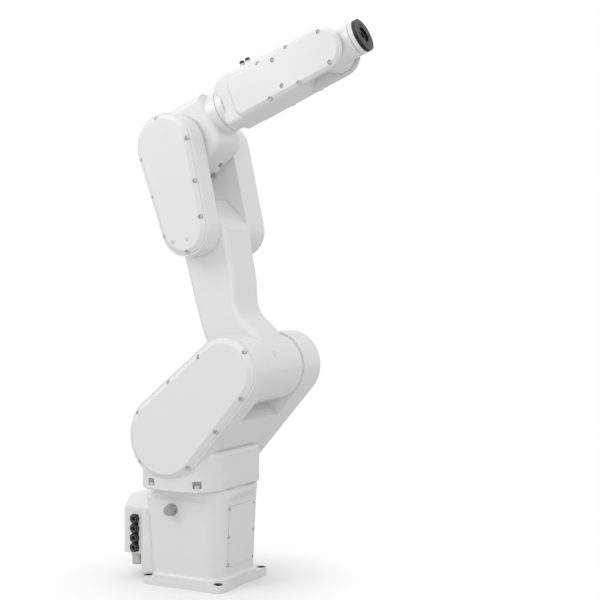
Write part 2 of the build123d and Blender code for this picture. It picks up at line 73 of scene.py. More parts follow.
lens = bpy.data.cameras.new("camera")
lens.sensor_width = sensor_width
lens.lens = focal_pixels / picture_side * sensor_width
lens.shift_y = (horizon_row - picture_side / 2) / picture_side
camera = bpy.data.objects.new("camera", lens)
camera.location = camera_place
camera.rotation_euler = (pi / 2, 0, view_turn)
bpy.context.scene.collection.objects.link(camera)
bpy.context.scene.camera = camera
print("lens", round(lens.lens, 1), "mm, shift", round(lens.shift_y, 4))

# %% [markdown]
# ## A class for shader maths
#
# Node trees are quicker to read as sums. `Socket` wraps an output socket, and its operators add Math
# nodes, so `0.3 + 0.1 * noise` builds two nodes and hands back the last one. `Finish` owns one material
# and makes every other node through a single method. Both keep a finish down to a few lines.

# %% Sockets in sums
class Socket:
    """An output socket that adds Math nodes when it is used in a sum."""

    def __init__(self, finish, output):
        self.finish = finish
        self.output = output

    def math(self, operation, first, second):
        return self.finish.node("ShaderNodeMath", {"operation": operation}, {0: first, 1: second})[0]

    def __add__(self, other):
        return self.math("ADD", self, other)

    def __radd__(self, other):
        return self.math("ADD", other, self)

    def __sub__(self, other):
        return self.math("SUBTRACT", self, other)

    def __rsub__(self, other):
        return self.math("SUBTRACT", other, self)

    def __mul__(self, other):
        return self.math("MULTIPLY", self, other)

    def __rmul__(self, other):
        return self.math("MULTIPLY", other, self)


print("sums of sockets ready")

# %% Materials
object_output = 3
mix_colours = (6, 7)
mix_result = 2


class Finish:
    """One material with a Principled shader."""

    def __init__(self, name, **numbers):
        self.material = bpy.data.materials.new(name)
        self.material.use_nodes = True
        self.tree = self.material.node_tree
        self.shader = self.tree.nodes["Principled BSDF"]
        for socket, value in numbers.items():
            self.shader.inputs[socket.replace("_", " ").title()].default_value = value

    def node(self, kind, settings, inputs):
        """Adds a node: its settings first, then the values or links of its sockets."""
        made = self.tree.nodes.new(kind)
        for name, value in settings.items():
            setattr(made, name, value)
        for socket, value in inputs.items():
            if isinstance(value, Socket):
                self.tree.links.new(value.output, made.inputs[socket])
            else:
                made.inputs[socket].default_value = value
        return [Socket(self, output) for output in made.outputs]

    def feed(self, socket, value):
        """Links a value to one of the shader's own sockets."""
        self.tree.links.new(value.output, self.shader.inputs[socket])

    def place(self):
        """The point on the piece, in metres."""
        return self.node("ShaderNodeTexCoord", {}, {})[object_output]

    def noise(self, scale, detail=2.0, seed=0.0):
        """Cloudy noise from 0 to 1, with this many waves to the metre."""
        inputs = {"Vector": self.place(), "W": seed, "Scale": scale, "Detail": detail}
        return self.node("ShaderNodeTexNoise", {"noise_dimensions": "4D"}, inputs)[0]

    def mix(self, share, first, second):
        """The first colour at share 0, the second at share 1."""
        inputs = dict(zip((0, *mix_colours), (share, first, second)))
        return self.node("ShaderNodeMix", {"data_type": "RGBA"}, inputs)[mix_result]

    def rounded(self, radius, samples):
        """The surface's direction with every edge rounded by this radius."""
        return self.node("ShaderNodeBevel", {"samples": samples}, {"Radius": radius})[0]

    def bump(self, height, depth, normal):
        """Turns a height from 0 to 1 into a relief of this depth in metres."""
        return self.node("ShaderNodeBump", {}, {"Height": height, "Distance": depth, "Normal": normal})[0]


print("materials ready")

# %% [markdown]
# ## White paint
#
# The castings wear a thick, glossy white powder paint. Up close such paint has orange peel, a very
# shallow waviness of about a millimetre. It never has knife edges either: paint and casting round each
# edge by a millimetre or so, which catches a thin line of light. Bevelling the castings' meshes would
# give that edge too, but a Bevel node does it in the shading and leaves them as they are. The corners get
# painted shade: ambient occlusion finds them and turns the paint's colour greyer there.

# %% White paint
paint_white = (0.800, 0.800, 0.800, 1)
paint_shade = (0.772, 0.772, 0.770, 1)
# Painted shade: the grey that the paint's colour takes in corners and creases.
corner_shade_grey = (0.52, 0.52, 0.51, 1)
edge_round = 0.0016
casting_samples = 6
peel_waves = 900
peel_depth = 0.00003
corner_reach = 0.012
corner_shade_range = {"From Min": 0.35, "From Max": 0.8, "To Min": 0.18, "To Max": 0.0}
shade_waves = 4.0
gloss_waves = 35.0
coat_waves = 18.0

paint = Finish("white_paint", coat_roughness=0.09)
# Painted shade: ambient occlusion finds corners and creases, and the paint's colour is mixed towards grey there.
corner = paint.node(
    "ShaderNodeAmbientOcclusion", {"samples": casting_samples, "only_local": True}, {"Distance": corner_reach}
)[1]
painted_corner_shade = paint.node("ShaderNodeMapRange", {}, {"Value": corner, **corner_shade_range})[0]
unshaded_paint = paint.mix(paint.noise(shade_waves), paint_white, paint_shade)
paint.feed("Base Color", paint.mix(painted_corner_shade, unshaded_paint, corner_shade_grey))
paint.feed("Roughness", 0.28 + 0.08 * paint.noise(gloss_waves, seed=3.0))
paint.feed("Coat Weight", 0.45 - 0.2 * paint.noise(coat_waves, seed=7.0))
edges = paint.rounded(edge_round, casting_samples)
paint.feed("Normal", paint.bump(paint.noise(peel_waves, seed=1.0), peel_depth, edges))
white_paint = paint.material
print("painted", white_paint.name)

# %% [markdown]
# ## Black, grey and metal parts
#
# The air fittings are moulded in black plastic with a fine grain, and the tool disc is anodised black
# metal with rings of dark steel. The plug, the power connector and the screws are plated, and the seals
# are grey rubber. Each could have its own node tree, but up close they differ only in colour, gloss, grain
# and metal, so one recipe makes them all.

# %% Black, grey and metal finishes
small_samples = 4
wear_waves = 40.0
wear_share = 1.35
wear_lift = 0.004
gloss_spread = 0.06


def moulded(name, colour, roughness, grain_waves, grain_depth, metallic=0.0):
    """A plain colour with a fine grain that varies its gloss."""
    part = Finish(name, metallic=metallic)
    grain = part.noise(grain_waves, detail=3.0, seed=2.0)
    wear = part.noise(wear_waves, seed=5.0)
    lighter = tuple(min(1.0, channel * wear_share + wear_lift) for channel in colour) + (1,)
    part.feed("Base Color", part.mix(wear, colour + (1,), lighter))
    part.feed("Roughness", (roughness - gloss_spread) + 2 * gloss_spread * grain)
    edges = part.rounded(edge_round / 4, small_samples)
    part.feed("Normal", part.bump(grain, grain_depth, edges))
    return part.material


finishes = {
    "white_paint": white_paint,
    "black_plastic": moulded("black_plastic", (0.010, 0.010, 0.011), 0.42, 1500, 0.00004),
    "black_metal": moulded("black_metal", (0.006, 0.006, 0.007), 0.42, 2500, 0.00002, 0.2),
    "connector_metal": moulded("connector_metal", (0.56, 0.54, 0.50), 0.30, 2200, 0.00002, 1.0),
}
screw_steel = moulded("screw_steel", (0.10, 0.10, 0.105), 0.36, 2500, 0.00001, 0.9)
plated_screw = moulded("plated_screw", (0.46, 0.46, 0.465), 0.5, 2500, 0.00001, 0.25)
rubber = moulded("rubber", (0.07, 0.07, 0.072), 0.6, 1800, 0.00003)
grey_rubber = moulded("grey_rubber", (0.30, 0.30, 0.30), 0.6, 1800, 0.00003)
pale_seal = moulded("pale_seal", (0.60, 0.60, 0.60), 0.6, 1800, 0.00003)
dark_plated = moulded("dark_plated", (0.38, 0.38, 0.385), 0.32, 2200, 0.00002, 0.9)
for name, piece in nodes.items():
    for place in piece.material_slots:
        place.material = finishes[slots[name]]
    if not piece.material_slots:
        piece.data.materials.append(finishes[slots[name]])
nodes["side_plug"].material_slots[0].material = dark_plated
print("finished", len(nodes), "pieces with", len(finishes), "finishes and a darker plug")

# %% [markdown]
# ## Tools for small pieces
#
# Every piece is built round its own axis, standing on z = 0, and then laid in its place by a frame: a
# matrix whose z axis points out of the surface that carries it. Typing in each corner's place would work
# too, but would hide what the piece is. The places come from the arm's joints and from the boxes of its
# castings, so each piece sits where the casting says.

# %% Frames on the arm
pins = {row["name"]: Vector(row["pos_m"]) for row in frame["joints"]}
along_forearm = Vector(frame["joints"][3]["axis"]).normalized()
across_forearm = Vector((-along_forearm.z, 0, along_forearm.x))
forward = Vector((1, 0, 0))
towards_camera_side = Vector((0, -1, 0))
shoulder, elbow = pins["shoulder_tilt"], pins["elbow_tilt"]
arm_lean = atan2(shoulder.x - elbow.x, elbow.z - shoulder.z)
across_lower_arm = Vector((cos(arm_lean), 0, sin(arm_lean)))


def frame_at(origin, across, outward):
    """A frame with its x axis across, its z axis outward and its y axis square to both."""
    up = outward.cross(across)
    made = Matrix((across, up, outward)).transposed().to_4x4()
    made.translation = origin
    return made


def side_frame(pin, across, node, near):
    """A frame on the inner face of a side cover, at a joint pin; on the far side x runs the other way."""
    low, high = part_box(node)
    if near:
        return frame_at(Vector((pin.x, high.y, pin.z)), across, towards_camera_side)
    return frame_at(Vector((pin.x, low.y, pin.z)), -across, -towards_camera_side)


def moved(across=0.0, up=0.0, out=0.0):
    """A move along a frame's own axes."""
    return Matrix.Translation((across, up, out))


print("the lower arm leans back", round(degrees(arm_lean), 1), "degrees")

# %% [markdown]
# ## From a bmesh to a piece
#
# A bmesh is Blender's mesh while it is being shaped. Once it is done, its doubled corners are merged, its
# faces are turned outwards, and it becomes a piece that rides on one body of the arm. Its mesh holds its
# place, and its object stays at the origin, as the castings do, so that it follows its joint.

# %% Adding a piece
sharp_angle = radians(38)
merge_reach = 1e-6


def add_piece(name, built, finish, body):
    """Turns a bmesh into a piece that rides on a body, smooth but for its sharp edges."""
    bmesh.ops.remove_doubles(built, verts=built.verts, dist=merge_reach)
    bmesh.ops.recalc_face_normals(built, faces=built.faces)
    data = bpy.data.meshes.new(name)
    built.to_mesh(data)
    built.free()
    data.shade_smooth()
    data.set_sharp_from_angle(angle=sharp_angle)
    data.materials.append(finish)
    piece = bpy.data.objects.new(name, data)
    bpy.context.scene.collection.objects.link(piece)
    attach(piece, body)
    return piece


def repeated(template, places):
    """One bmesh with a copy of the template in every place."""
    data = bpy.data.meshes.new("template")
    template.to_mesh(data)
    template.free()
    built = bmesh.new()
    for place in places:
        known = len(built.verts)
        built.from_mesh(data)
        built.verts.ensure_lookup_table()
        bmesh.ops.transform(built, matrix=place, verts=built.verts[known:])
    bpy.data.meshes.remove(data)
    return built


print("pieces can be added")

# %% [markdown]
# ## Turned and flat shapes
#
# Screws, rings and collars are turned on a lathe, and strips and seals are cut from sheet. The spin
# operator does what a lathe does: it takes half an outline once round the axis. A flat plate starts as
# one square whose corners are rounded before it is raised, and a ribbed collar as a circle whose points
# step in and out. Boolean cuts would reach the same shapes, but leave untidy faces.

# %% Lathe
round_steps = 32


def lathe(outline, steps=round_steps):
    """A solid of revolution about z; points that miss the axis close up to a ring."""
    built = bmesh.new()
    points = [built.verts.new((radius, 0, height)) for radius, height in outline]
    ends = [points[-1], points[0]]
    lines = [built.edges.new(pair) for pair in zip(points, points[1:])]
    if outline[0][0] > 0:
        lines.append(built.edges.new(ends))
    bmesh.ops.spin(
        built, geom=points + lines, cent=(0, 0, 0), axis=(0, 0, 1), angle=2 * pi, steps=steps, use_merge=True
    )
    bmesh.ops.remove_doubles(built, verts=built.verts, dist=merge_reach / 10)
    bmesh.ops.recalc_face_normals(built, faces=built.faces)
    return built


print("lathe ready")

# %% Plates and collars
corner_segments = 8
edge_segments = 2
points_to_a_rib = 4


def raised(built, height):
    """Raises a flat bmesh to this height, and gives back its lid."""
    region = bmesh.ops.extrude_face_region(built, geom=built.faces[:])["geom"]
    lid = [item for item in region if isinstance(item, bmesh.types.BMFace)][0]
    bmesh.ops.translate(built, verts=lid.verts, vec=(0, 0, height))
    return lid


def plate(half_x, half_y, corner, bottom, top, edge=0.0):
    """A flat plate with round corners between two heights, with a chamfer round its top."""
    built = bmesh.new()
    bmesh.ops.create_grid(built, x_segments=1, y_segments=1, size=1)
    sized = moved(out=bottom) @ Matrix.Diagonal((half_x, half_y, 1, 1))
    bmesh.ops.transform(built, matrix=sized, verts=built.verts)
    bmesh.ops.bevel(
        built, geom=built.verts[:], affect="VERTICES", offset=corner, segments=corner_segments, profile=0.5,
        material=-1,
    )
    lid = raised(built, top - bottom)
    if edge:
        bmesh.ops.bevel(
            built, geom=lid.edges[:], affect="EDGES", offset=edge, segments=edge_segments, profile=0.5,
            material=-1,
        )
    return built


def ribbed(radius, depth, height, ribs):
    """A round collar standing on z = 0 with this many ribs round it."""
    built = bmesh.new()
    bmesh.ops.create_circle(built, cap_ends=True, segments=ribs * points_to_a_rib, radius=radius)
    for index, vert in enumerate(built.verts):
        if index % points_to_a_rib < points_to_a_rib / 2:
            vert.co *= (radius - depth) / radius
    raised(built, height)
    return built


print("plates and collars ready")

# %% [markdown]
# ## Cap screws
#
# The covers are held by socket cap screws. A cap screw is a short lathe shape with a rounded rim, and its
# hexagonal socket is sunk into the flat disc on top: the disc is inset, its points are moved out to the
# sides of a hexagon, and it is pushed down. No second shape has to be cut out of the first.

# %% Cap screws
screw_radius = 0.0046
screw_height = 0.0042
screw_steps = 24
rim_share = 0.16
rim_turn = 0.3
flat_enough = 0.99
hexagon_side = pi / 3


def sink_hexagon(built, width, depth, floor_height):
    """Sinks a hexagonal socket of this width across its flats into the flat disc round the axis."""
    top = [
        face for face in built.faces
        if abs(face.normal.z) > flat_enough and face.calc_center_median().z > floor_height
    ]
    disc = bmesh.ops.dissolve_faces(built, faces=top)["region"]
    bmesh.ops.inset_individual(built, faces=disc, thickness=width / 4)
    centre = disc[0]
    for vert in centre.verts:
        angle = atan2(vert.co.y, vert.co.x)
        turn = (angle + hexagon_side / 2) % hexagon_side - hexagon_side / 2
        reach = width / 2 / cos(turn)
        vert.co.x = reach * cos(angle)
        vert.co.y = reach * sin(angle)
    walls = bmesh.ops.extrude_discrete_faces(built, faces=[centre])["faces"]
    bmesh.ops.translate(built, verts=walls[0].verts, vec=(0, 0, -depth))


def cap_screw(radius, height, socket_width, socket_depth):
    """A socket cap screw whose head stands on z = 0."""
    rim = radius * rim_share
    outline = [
        (0, 0),
        (radius, 0),
        (radius, height - rim),
        (radius - rim * rim_turn, height - rim * rim_turn),
        (radius - rim, height),
        (0, height),
    ]
    built = lathe(outline, screw_steps)
    sink_hexagon(built, socket_width, socket_depth, height / 2)
    return built


def cover_screw():
    """The size of screw that all the covers on the arm have."""
    return cap_screw(screw_radius, screw_height, socket_width=0.0034, socket_depth=0.0012)


def as_left(place, by_place):
    """A turn that differs from screw to screw, because nobody lines up their sockets."""
    return Matrix.Rotation(place[0] * by_place[0] + place[1] * by_place[1], 4, "Z")


print("cap screws ready")

# %% [markdown]
# ## Screws in the covers
#
# Each cover on the shoulder and elbow is a tapered outline round two circles, and its screws follow the
# rim. Their places are angles round the two circles and shares of the straight sides between them, which
# keeps them on the rim. The forearm's covers are straight, and their screws stand in rows.

# %% Places on a cover's rim
def rim_places(top, low, foot, top_angles, foot_angles, low_shares, high_shares):
    """Points on a tapered outline: round its top circle, round its foot and along both straight sides."""
    line = atan2(foot[1], foot[0])
    turn = acos((top - low) / hypot(*foot))
    places = [(top * cos(radians(angle)), top * sin(radians(angle))) for angle in top_angles]
    for angle in foot_angles:
        places.append((foot[0] + low * cos(radians(angle)), foot[1] + low * sin(radians(angle))))
    for shares, angle in ((low_shares, line + turn), (high_shares, line - turn)):
        for share in shares:
            reach = top + share * (low - top)
            places.append((reach * cos(angle) + share * foot[0], reach * sin(angle) + share * foot[1]))
    return places


covers = {
    "shoulder_cover": {
        "body": "swing",
        "pin": pins["shoulder_tilt"],
        "across": forward,
        "places": rim_places(
            top=0.077, low=0.097, foot=(-0.168, -0.163), top_angles=(41, 153), foot_angles=(-46, -139, 145),
            low_shares=(0.06, 0.52), high_shares=(0.6,),
        ),
    },
    "elbow_cover": {
        "body": "lower_arm",
        "pin": pins["elbow_tilt"],
        "across": across_lower_arm,
        "places": rim_places(
            top=0.072, low=0.058, foot=(-0.012, -0.212), top_angles=(88, -7, 187), foot_angles=(10, -98, 178),
            low_shares=(0.5,), high_shares=(0.5,),
        ),
    },
    "forearm_cover": {
        "body": "forearm",
        "pin": pins["wrist_tilt"],
        "across": along_forearm,
        "places": [
            (-0.081, 0.048), (-0.081, -0.048), (-0.165, 0.048), (-0.165, -0.048),
            (-0.124, 0.034), (-0.124, -0.034), (0.012, 0.040), (0.012, -0.040),
        ],
    },
}
print("places for", sum(len(facts["places"]) for facts in covers.values()), "screws on each side")

# %% Cover screws
screw_flange = 0.003
count = 0
for cover, facts in covers.items():
    for side, turned_round in (("near", 1), ("far", -1)):
        base = side_frame(facts["pin"], facts["across"], f"{side}_{cover}", side == "near")
        places = [
            base @ moved(turned_round * x, y, screw_flange) @ as_left((x, y), (90, 50)) for x, y in facts["places"]
        ]
        screws = repeated(cover_screw(), places)
        add_piece(f"{side}_{cover}_screws", screws, plated_screw, facts["body"])
        count += len(places)
print(count, "cover screws")

# %% [markdown]
# ## Screws at the base
#
# The front cover is held by six screws that sit half in the notches of its edge. Four larger screws hold the
# swing down, each in a round pocket in its rim. Both kinds are the same cap screw in another size, so they
# need only their places and their sizes.

# %% Screws at the base
cover_height = 0.1255
cover_seat = 0.1003
front_slope = atan2(0.006, 0.191)
front_normal = Vector((cos(front_slope), 0, -sin(front_slope)))
cover_base = frame_at(Vector((cover_seat, 0, cover_height)), Vector((0, 1, 0)), front_normal)
notch_side = 0.0575
notch_rise = 0.0685
front_places = [
    cover_base @ moved(side * notch_side, rise * notch_rise) @ as_left((side, rise), (1, 1))
    for side in (-1, 1)
    for rise in (-1, 0, 1)
]
front_screw = cap_screw(radius=0.0042, height=0.0048, socket_width=0.0038, socket_depth=0.0022)
add_piece("front_cover_screws", repeated(front_screw, front_places), plated_screw, "base")

rim_floor = 0.2525
rim_screws = [(0.062, 0.1331), (0.062, -0.1331), (-0.062, 0.1413), (-0.062, -0.1413)]
places = [moved(x, y, rim_floor) @ as_left((x, y), (40, 20)) for x, y in rim_screws]
rim_screw = cap_screw(radius=0.0072, height=0.0080, socket_width=0.0060, socket_depth=0.0038)
add_piece("swing_rim_screws", repeated(rim_screw, places), plated_screw, "swing")
print("screws at the base:", len(front_places), "small and", len(rim_screws), "large")

# %% [markdown]
# ## Black liners that paint the shade in the foot holes
#
# The foot plate's four bolt holes look black in the picture, from the shade in the holes and round their
# spotfaces. Left bare they would show the pale floor, so a thin black liner with a flat rim stands in each
# as painted shade. It is one lathe shape laid in the four corners.

# %% Foot hole liners, painted shade
foot_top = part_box("foot_plate")[1].z
spotface_depth = 0.0015
hole_offset = 0.1018
# Painted shade: the black tube and its flat rim stand for the shade in the hole and round its spotface.
liner = lathe(
    [
        (0.0062, -0.0150), (0.0068, -0.0150), (0.0068, 0), (0.0116, 0), (0.0116, 0.0006), (0.0110, 0.0011),
        (0.0070, 0.0011), (0.0062, 0.0004),
    ],
    steps=40,
)
places = [moved(x * hole_offset, y * hole_offset, foot_top - spotface_depth) for x in (-1, 1) for y in (-1, 1)]
add_piece("foot_hole_shade_liners", repeated(liner, places), finishes["black_plastic"], "base")
print(len(places), "liners")

# %% [markdown]
# ## Seals in the turning joints
#
# A joint that turns about its own axis shows a thin gap all round, and a pale grey lip seal lies in it. The
# seal under the swing follows its rounded outline, so it is a plate with round corners that turns with it.
# The seals at the neck and behind the tool disc are plain rings, which the lathe makes.

# %% Seals
ring_steps = 72
rim_of_half = 0.6
swing_shift = -0.011
turn_seal = plate(half_x=0.1120, half_y=0.1470, corner=0.077, bottom=0.2413, top=0.2437)
bmesh.ops.translate(turn_seal, verts=turn_seal.verts, vec=(swing_shift, 0, 0))
add_piece("turn_seal", turn_seal, pale_seal, "swing")


def seal_ring(radius, width, thickness):
    """A ring with rounded rims whose middle lies on z = 0."""
    half = thickness / 2
    rim = half * rim_of_half
    return lathe(
        [
            (radius - width, -half),
            (radius - rim, -half),
            (radius, -half + rim),
            (radius, half - rim),
            (radius - rim, half),
            (radius - width, half),
        ],
        ring_steps,
    )


neck_frame = frame_at(pins["forearm_roll"], towards_camera_side, along_forearm)
neck_seal = repeated(seal_ring(radius=0.0550, width=0.010, thickness=0.0023), [neck_frame])
add_piece("neck_seal", neck_seal, pale_seal, "elbow")
disc_frame = frame_at(pins["disc_turn"], towards_camera_side, along_forearm)
behind_disc = disc_frame @ moved(out=-0.0214)
disc_seal = repeated(seal_ring(radius=0.0398, width=0.008, thickness=0.0011), [behind_disc])
add_piece("disc_seal", disc_seal, pale_seal, "wrist")
print("seals at the swing, the neck and the disc")

# %% [markdown]
# ## Spacer rings at the pins
#
# What turns on the shoulder and elbow pins stands a few millimetres clear of the ears on both sides. White
# rings fill those gaps round the pin, as the raised faces of the castings do, so that no light shows
# through. They are the seal's ring again, in another size.

# %% Spacer rings
drum_gap_middle = 0.0855
elbow_gap_middle = 0.0615
ring_thickness = 0.0046
ring_width = 0.020


def pin_rings(pin, radius, middle):
    """Two rings round a joint pin, one in the gap on each side of what turns on it."""
    centre = frame_at(pin, forward, towards_camera_side)
    sides = [centre @ moved(out=side * middle) for side in (-1, 1)]
    return repeated(seal_ring(radius, ring_width, ring_thickness), sides)


shoulder_rings = pin_rings(pins["shoulder_tilt"], radius=0.0815, middle=drum_gap_middle)
add_piece("shoulder_rings", shoulder_rings, white_paint, "lower_arm")
elbow_rings = pin_rings(pins["elbow_tilt"], radius=0.0720, middle=elbow_gap_middle)
add_piece("elbow_rings", elbow_rings, white_paint, "elbow")
print("rings in the four gaps at the pins")

# %% [markdown]
# ## The tool disc
#
# The rim of the tool disc is painted white like the wrist, and only a narrow band at its front edge is
# black. A thin sleeve gives that rim. On the face each threaded hole has a bright chamfer, and a machined
# ring runs round the pocket. Paint on the face could show them, but thin lathe rings that stand a hair
# above the black also catch the light.

# %% Disc sleeve
sleeve_steps = 96
sleeve = lathe(
    [
        (0.0400, -0.0205), (0.0408, -0.0205), (0.0412, -0.0201), (0.0412, -0.0094), (0.0408, -0.0090),
        (0.0400, -0.0090),
    ],
    sleeve_steps,
)
add_piece("disc_sleeve", repeated(sleeve, [disc_frame]), white_paint, "disc")
print("white sleeve round the disc")

# %% Rings on the disc's face
face_steps = 48
face_height = 0.0002
tool_circle = 0.025
quarter = pi / 2


def face_ring(inner, outer):
    """A thin ring with a chamfered inner rim, lying on z = 0."""
    outline = [(inner, -face_height), (outer, -face_height), (outer, face_height), (inner + face_height, face_height)]
    return lathe(outline, face_steps)


hole_places = [
    disc_frame @ Matrix.Rotation(quarter / 2 + turn * quarter, 4, "Z") @ moved(tool_circle) for turn in range(4)
]
hole_rims = repeated(face_ring(inner=0.0031, outer=0.0041), hole_places)
add_piece("disc_hole_rims", hole_rims, screw_steel, "disc")
pocket_ring = repeated(face_ring(inner=0.0198, outer=0.0211), [disc_frame])
add_piece("disc_pocket_ring", pocket_ring, screw_steel, "disc")
edge_ring = repeated(face_ring(inner=0.0372, outer=0.0384), [disc_frame])
add_piece("disc_edge_ring", edge_ring, screw_steel, "disc")
print(len(hole_places), "hole rims and 2 rings")

# %% [markdown]
# ## Air outlets on the forearm
#
# Two push-in fittings stand on the forearm's sloping top. Each has a hexagonal foot, a pale plastic body
# and a black ring on top that lets the tube go. A lathe with six steps turns the hexagon. They stand where
# the plain outlets do and replace them, so that both don't show.

# %% Air outlets
outlet_along, outlet_rise, outlet_side = 0.236, 0.099, 0.018
outlet_half_pitch = 0.0085
hexagon_steps = 6
outlet_finish = moulded("pale_plastic", (0.60, 0.605, 0.62), 0.38, 1500, 0.00003)
outlet_seat = (
    pins["elbow_tilt"]
    + outlet_along * along_forearm
    + outlet_rise * across_forearm
    + outlet_side * towards_camera_side
)
outlet_frame = frame_at(outlet_seat, along_forearm, across_forearm)
outlet_places = [outlet_frame @ moved(side * outlet_half_pitch) for side in (-1, 1)]
foot = lathe([(0, 0.010), (0.0078, 0.010), (0.0078, 0.0202), (0.0070, 0.0210), (0, 0.0210)], hexagon_steps)
body = lathe(
    [
        (0, 0.0205), (0.0050, 0.0205), (0.0050, 0.0222), (0.0060, 0.0228), (0.0060, 0.0258), (0.0054, 0.0265),
        (0.0020, 0.0265), (0, 0.0260),
    ]
)
release = lathe(
    [
        (0.0024, 0.0262), (0.0050, 0.0262), (0.0062, 0.0274), (0.0062, 0.0322), (0.0055, 0.0330),
        (0.0030, 0.0330), (0.0024, 0.0322),
    ]
)
outlet_parts = {
    "air_outlet_feet": (foot, finishes["connector_metal"], "connector_metal"),
    "air_outlet_bodies": (body, outlet_finish, "white_paint"),
    "air_outlet_rings": (release, finishes["black_plastic"], "black_plastic"),
}
outlets = {
    name: add_piece(name, repeated(shape, outlet_places), finish, "forearm")
    for name, (shape, finish, slot) in outlet_parts.items()
}
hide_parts("air_outlets")
print(len(outlet_places), "outlets:", *outlets)

# %% [markdown]
# ## Air connectors at the rear
#
# The four air connectors share a black backing strip on the box's side, and each has a release ring in its
# mouth. The strip is a plate with a chamfer round it, and the ring is one lathe shape laid four times, at
# the distance that the connectors have.

# %% Air connector strip and rings
connector_pitch = 0.0242
connector_reach = 0.009
connector_row = frame_at(Vector((-0.1660, -0.0690, 0.1120)), forward, towards_camera_side)
strip = plate(half_x=0.0095, half_y=0.0470, corner=0.0030, bottom=-0.0005, top=0.0018, edge=0.0005)
strip = repeated(strip, [connector_row])
add_piece("connector_strip", strip, finishes["black_plastic"], "base")
mouths = [
    connector_row @ moved(up=(index - 1.5) * connector_pitch, out=connector_reach) for index in range(4)
]
ring = lathe(
    [
        (0.0056, -0.0040), (0.0086, -0.0010), (0.0086, 0.0014), (0.0080, 0.0020), (0.0064, 0.0020),
        (0.0056, 0.0010),
    ]
)
add_piece("connector_rings", repeated(ring, mouths), rubber, "base")
print("strip and", len(mouths), "release rings")

# %% [markdown]
# ## Ribbed collars
#
# The power connector hangs from the box's floor with a ribbed collar, which gives a hand its grip when the
# round connector is screwed on. The plug on the near side has the same kind of collar. The ribs are real
# steps in the outline, because a bump would leave the outline smooth.

# %% Power connector and plug collars
power_collar_floor = 0.0500
plug_collar_back = 0.0125
collar_low, collar_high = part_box("power_connector")
collar_middle = (collar_low + collar_high) / 2
collar_place = moved(collar_middle.x, collar_middle.y, power_collar_floor)
power_collar = repeated(ribbed(radius=0.0160, depth=0.0009, height=0.0100, ribs=24), [collar_place])
add_piece("power_collar", power_collar, finishes["connector_metal"], "base")
plug_low, plug_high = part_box("side_plug")
plug_middle = (plug_low + plug_high) / 2
plug_seat = Vector((plug_middle.x, plug_low.y + plug_collar_back, plug_middle.z))
plug_frame = frame_at(plug_seat, forward, towards_camera_side)
plug_collar = repeated(ribbed(radius=0.0129, depth=0.0007, height=0.0090, ribs=20), [plug_frame])
add_piece("plug_collar", plug_collar, dark_plated, "base")
print("ribbed collars on the power connector and the plug")

# %% [markdown]
# ## Plugs and dots on the arm
#
# Small plugs close the castings' threaded holes: a round one on the shoulder drum and a smaller one on the
# beam. Each is a shallow lathe shape sunk into the paint. The near elbow cover also has two screws in its
# flat face, sunk until their heads almost lie in it. All are real shapes, since each casts a small shadow.

# %% Plugs
def shallow_plug(radius):
    """A low plug with a dished middle, sunk into the surface at z = 0."""
    lip = radius * 0.12
    return lathe(
        [
            (0, -lip * 3),
            (radius, -lip * 3),
            (radius, lip),
            (radius - lip, lip * 1.6),
            (radius * 0.66, lip * 1.6),
            (radius * 0.55, 0),
            (0, 0),
        ]
    )


drum_radius = 0.083
drum_angle = radians(30.25)
drum_side = 0.0417
drum_out = Vector((cos(drum_angle), 0, sin(drum_angle)))
drum_point = pins["shoulder_tilt"] + drum_radius * drum_out + drum_side * towards_camera_side
drum_plug = repeated(shallow_plug(0.0070), [frame_at(drum_point, towards_camera_side, drum_out)])
add_piece("drum_plug", drum_plug, white_paint, "lower_arm")

beam_side = 0.060
beam_seat = pins["shoulder_tilt"] + beam_side * towards_camera_side
beam_frame = frame_at(beam_seat, across_lower_arm, towards_camera_side)
beam_plug = repeated(shallow_plug(0.0038), [beam_frame @ moved(-0.0520, 0.0949)])
add_piece("beam_plug", beam_plug, plated_screw, "lower_arm")
print("plugs on the drum and the beam")

# %% Screws in the elbow cover's face
cover_face = 0.012
head_proud = 0.0006
sunk = cover_face - screw_height + head_proud
elbow_frame = side_frame(pins["elbow_tilt"], across_lower_arm, "near_elbow_cover", True)
face_screws = [elbow_frame @ moved(-0.0076, -0.2399, sunk), elbow_frame @ moved(-0.0480, -0.2330, sunk)]
add_piece("elbow_face_screws", repeated(cover_screw(), face_screws), plated_screw, "lower_arm")
print(len(face_screws), "screws in the elbow cover's face")

# %% [markdown]
# ## The elbow's stop
#
# Between the elbow ears, low on the housing's round hub, sits a small bracket with two rubber bumpers that
# ends the elbow's travel. The bracket is a painted plate sunk into the hub, and the bumpers are lathe
# shapes with a crowned end. They are built flat and laid on the hub by a frame, which saves bending them.

# %% Elbow stop
stop_angle = radians(-64)
hub_radius = 0.074
stop_side = 0.026
bumper_seat = 0.0028
radial = cos(stop_angle) * along_forearm + sin(stop_angle) * across_forearm
tangent = cos(stop_angle) * across_forearm - sin(stop_angle) * along_forearm
stop_seat = pins["elbow_tilt"] + hub_radius * radial - stop_side * towards_camera_side
stop_frame = frame_at(stop_seat, tangent, radial)
bracket = plate(half_x=0.0230, half_y=0.0110, corner=0.0040, bottom=-0.0060, top=0.0030, edge=0.0012)
add_piece("elbow_stop_bracket", repeated(bracket, [stop_frame]), white_paint, "elbow")


def bumper(radius, height, across):
    """A rubber bumper with a crowned end, standing this far across the bracket."""
    shape = lathe(
        [
            (0, 0),
            (radius * 0.9, 0),
            (radius, height * 0.2),
            (radius, height * 0.65),
            (radius * 0.8, height * 0.92),
            (radius * 0.4, height),
            (0, height),
        ]
    )
    return repeated(shape, [stop_frame @ moved(across, out=bumper_seat)])


large_bumper = bumper(radius=0.0080, height=0.0085, across=-0.0160)
add_piece("elbow_stop_bumper", large_bumper, grey_rubber, "elbow")
small_bumper = bumper(radius=0.0055, height=0.0065, across=0.0170)
add_piece("elbow_stop_small_bumper", small_bumper, grey_rubber, "elbow")
print("elbow stop with two bumpers")

